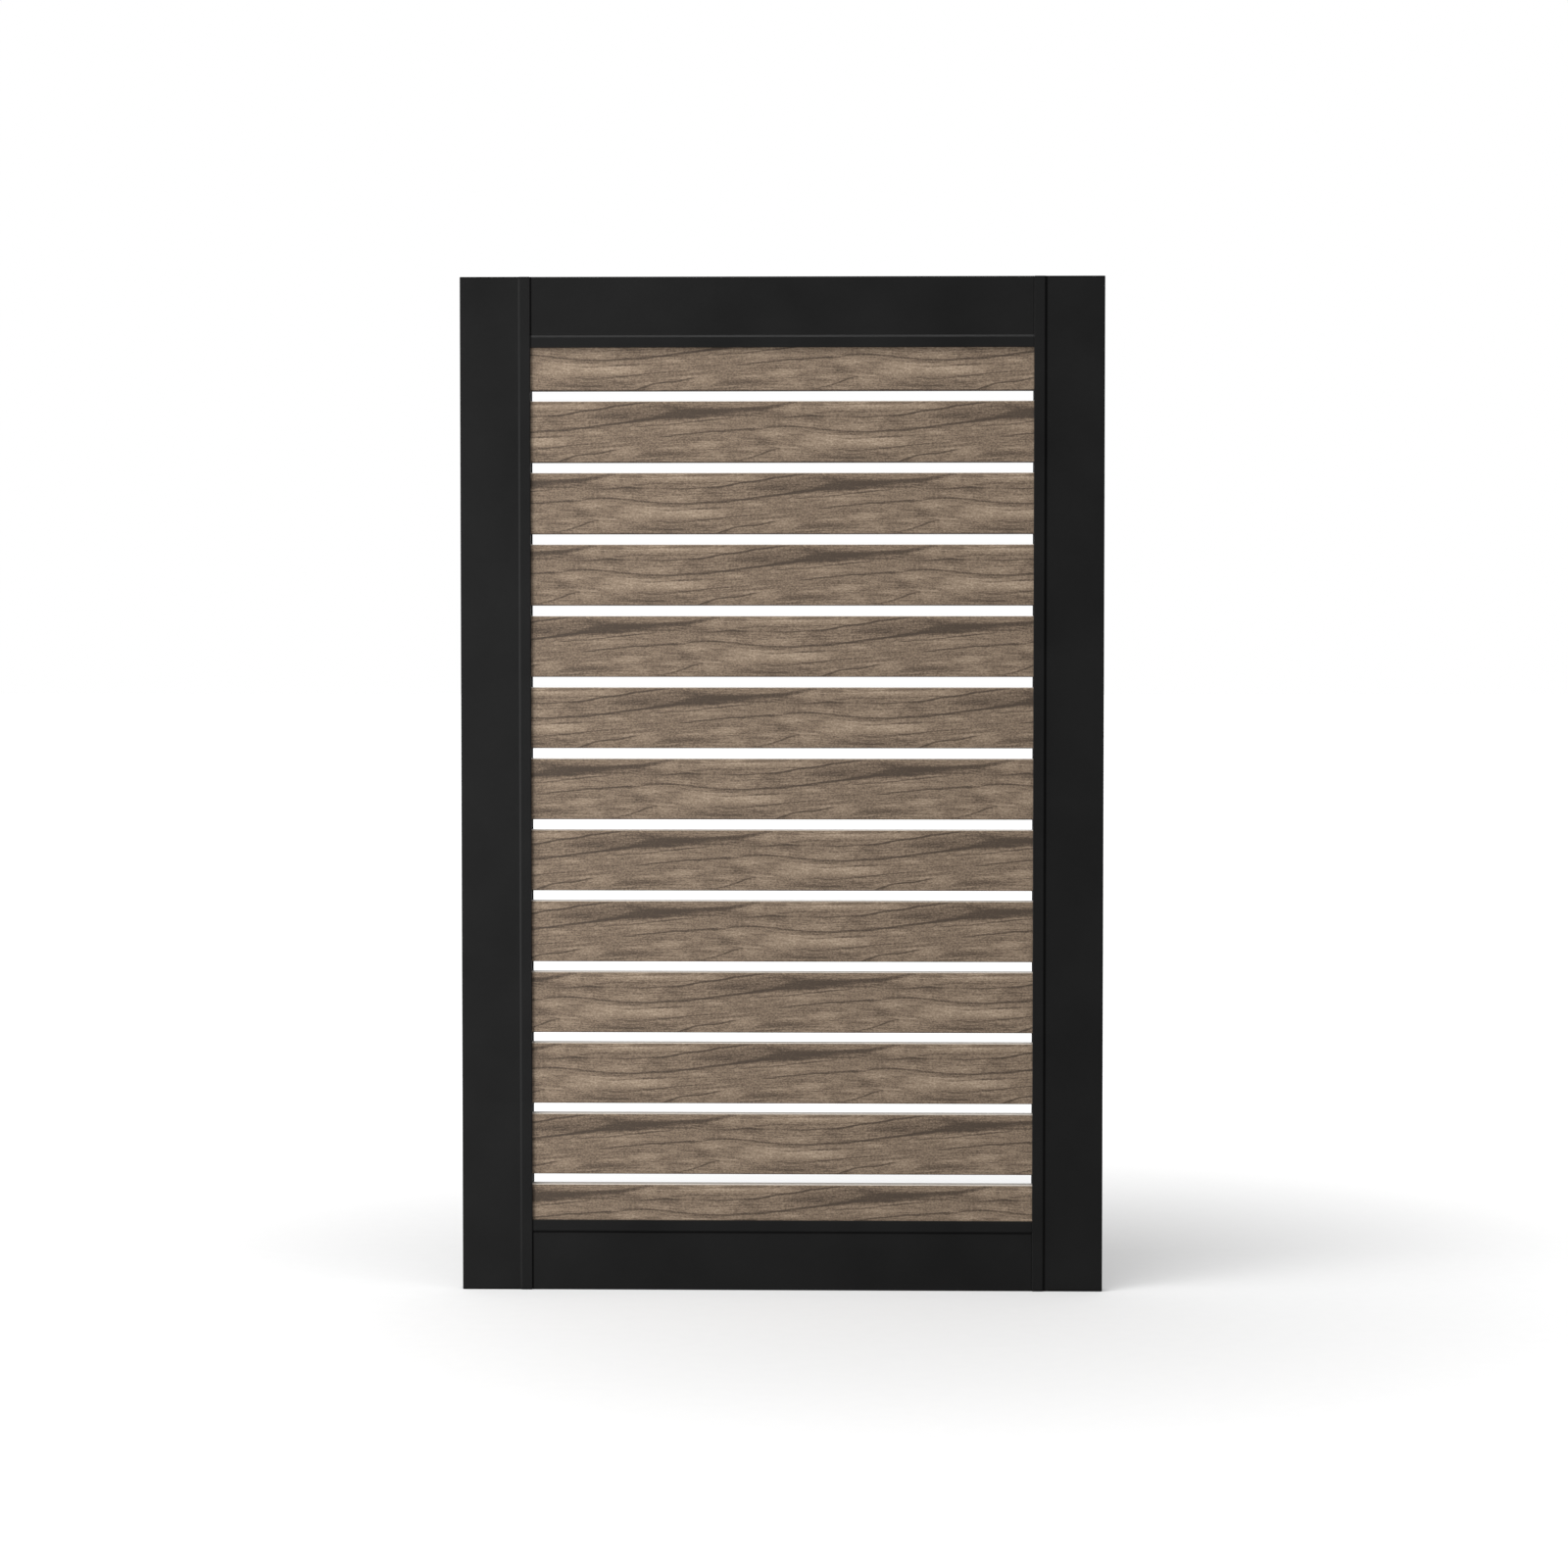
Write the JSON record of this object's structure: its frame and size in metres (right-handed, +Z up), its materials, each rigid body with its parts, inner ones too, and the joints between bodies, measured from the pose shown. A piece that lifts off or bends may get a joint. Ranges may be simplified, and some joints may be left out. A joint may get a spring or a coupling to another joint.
{
  "type": "fence gate leaf",
  "caption": "Fence gate leaf with a black extruded frame, a raised inner shoulder and level wood-print slats with narrow gaps, hung by the outer face of its hinge-side upright.",
  "frame": {"origin": "centre of the outer face of the hinge-side upright", "axes": "+X across the leaf towards the latch side, +Z up, front towards -Y"},
  "size_m": [0.95, 0.035, 1.5],
  "materials": {
    "frame_coat": "satin black powder coat",
    "slat_print": "matte grey-brown wood print, grain along the slat",
    "cap_plastic": "matte",
    "spacer_plastic": "matte"
  },
  "bodies": {
    "root": {"hinge_stile": "frame_coat", "latch_stile": "frame_coat", "top_rail": "frame_coat", "bottom_rail": "frame_coat", "slat_01": "slat_print", "slat_02": "slat_print", "slat_03": "slat_print", "slat_04": "slat_print", "slat_05": "slat_print", "slat_06": "slat_print", "slat_07": "slat_print", "slat_08": "slat_print", "slat_09": "slat_print", "slat_10": "slat_print", "slat_11": "slat_print", "slat_12": "slat_print", "slat_13": "slat_print", "hinge_stile_top_cap": "cap_plastic", "hinge_stile_bottom_cap": "cap_plastic", "latch_stile_top_cap": "cap_plastic", "latch_stile_bottom_cap": "cap_plastic", "hinge_side_spacers": "spacer_plastic", "latch_side_spacers": "spacer_plastic"}
  },
  "joints": []
}
